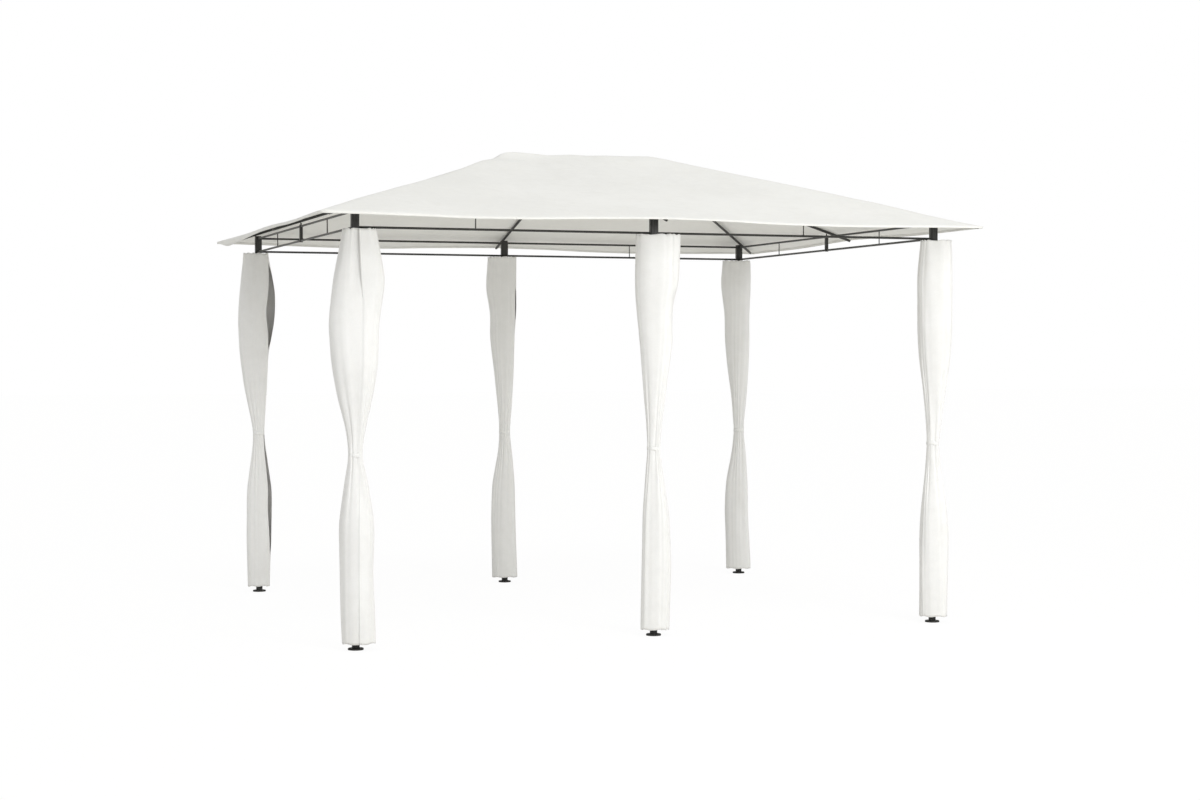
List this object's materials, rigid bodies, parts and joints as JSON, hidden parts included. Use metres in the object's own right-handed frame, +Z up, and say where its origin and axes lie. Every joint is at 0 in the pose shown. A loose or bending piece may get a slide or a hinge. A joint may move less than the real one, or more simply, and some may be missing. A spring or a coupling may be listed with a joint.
{
  "type": "garden gazebo",
  "caption": "Rectangular garden gazebo: slender steel posts on round feet, ladder rails under the eaves, a hipped fabric canopy, and a curtain gathered and tied round each post",
  "frame": {"origin": "on the ground under the middle of the roof", "axes": "+X along the long sides to the right, +Y from the front to the back, +Z up"},
  "size_m": [3.4752, 3.0294, 2.504],
  "materials": {
    "powder_steel": "satin anthracite powder coat",
    "foot_plastic": "moulded black",
    "canopy_cloth": "cream woven polyester",
    "curtain_cloth": "cream light woven polyester"
  },
  "bodies": {
    "root": {"post_front_left": "powder_steel", "post_front_middle": "powder_steel", "post_front_right": "powder_steel", "post_back_left": "powder_steel", "post_back_middle": "powder_steel", "post_back_right": "powder_steel", "foot_front_left": "foot_plastic", "foot_front_middle": "foot_plastic", "foot_front_right": "foot_plastic", "foot_back_left": "foot_plastic", "foot_back_middle": "foot_plastic", "foot_back_right": "foot_plastic", "rail_front_left": "powder_steel", "rail_front_right": "powder_steel", "rail_back_left": "powder_steel", "rail_back_right": "powder_steel", "rail_left": "powder_steel", "rail_right": "powder_steel", "ridge_tube": "powder_steel", "hub_left": "powder_steel", "hub_right": "powder_steel", "rafter_left": "powder_steel", "rafter_right": "powder_steel", "rafter_front_left": "powder_steel", "rafter_front_middle": "powder_steel", "rafter_front_right": "powder_steel", "rafter_back_left": "powder_steel", "rafter_back_middle": "powder_steel", "rafter_back_right": "powder_steel", "canopy": "canopy_cloth", "curtain_front_left": "curtain_cloth", "curtain_front_middle": "curtain_cloth", "curtain_front_right": "curtain_cloth", "curtain_back_left": "curtain_cloth", "curtain_back_middle": "curtain_cloth", "curtain_back_right": "curtain_cloth", "tie_front_left": "curtain_cloth", "tie_front_middle": "curtain_cloth", "tie_front_right": "curtain_cloth", "tie_back_left": "curtain_cloth", "tie_back_middle": "curtain_cloth", "tie_back_right": "curtain_cloth"}
  },
  "joints": []
}
